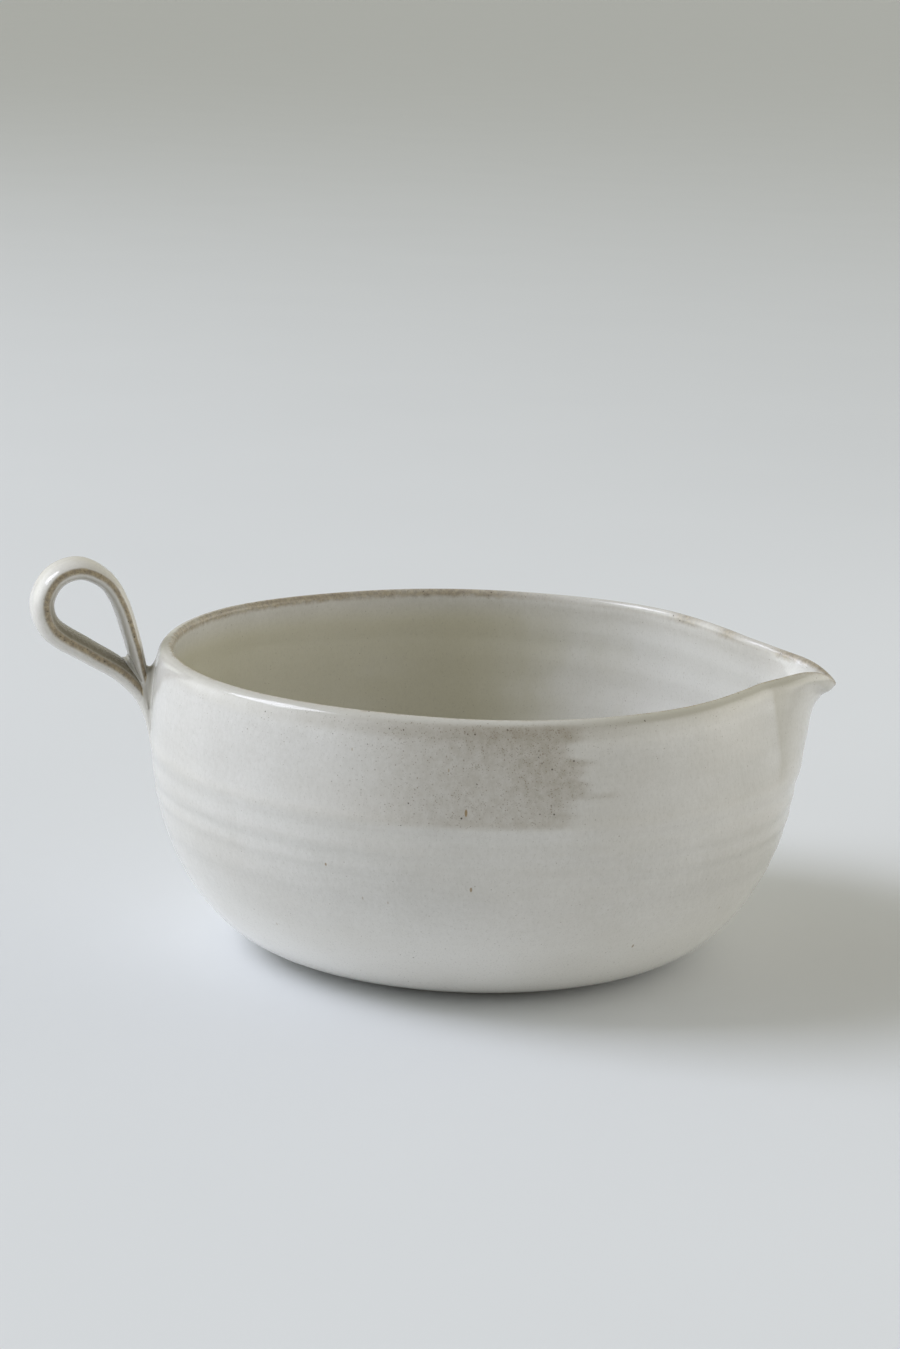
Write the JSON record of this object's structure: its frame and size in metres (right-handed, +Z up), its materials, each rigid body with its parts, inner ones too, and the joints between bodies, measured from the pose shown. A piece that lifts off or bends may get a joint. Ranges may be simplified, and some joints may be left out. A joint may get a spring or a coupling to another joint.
{
  "type": "pouring bowl",
  "caption": "Hand-thrown stoneware pouring bowl with a rounded wall, a spout pulled from its rim and a strap finger loop, in a milky speckled glaze.",
  "frame": {"origin": "centre of the flat base, on the throwing axis, on the surface that the bowl stands on", "axes": "+Z up out of the bowl's mouth, +X from the handle towards the spout, +Y completes the right-handed frame"},
  "size_m": [0.2362, 0.1906, 0.112],
  "materials": {
    "milky_glaze": "glossy milky-white glaze over speckled stoneware, breaking to brown at the rim",
    "strap_glaze": "glossy milky-white glaze, breaking to brown along the strap's edges",
    "slip_clay": "thin glaze over brown stoneware slip"
  },
  "bodies": {
    "root": {"thrown_bowl": "milky_glaze", "loop_handle": "strap_glaze", "luting_slip": "slip_clay"}
  },
  "joints": []
}
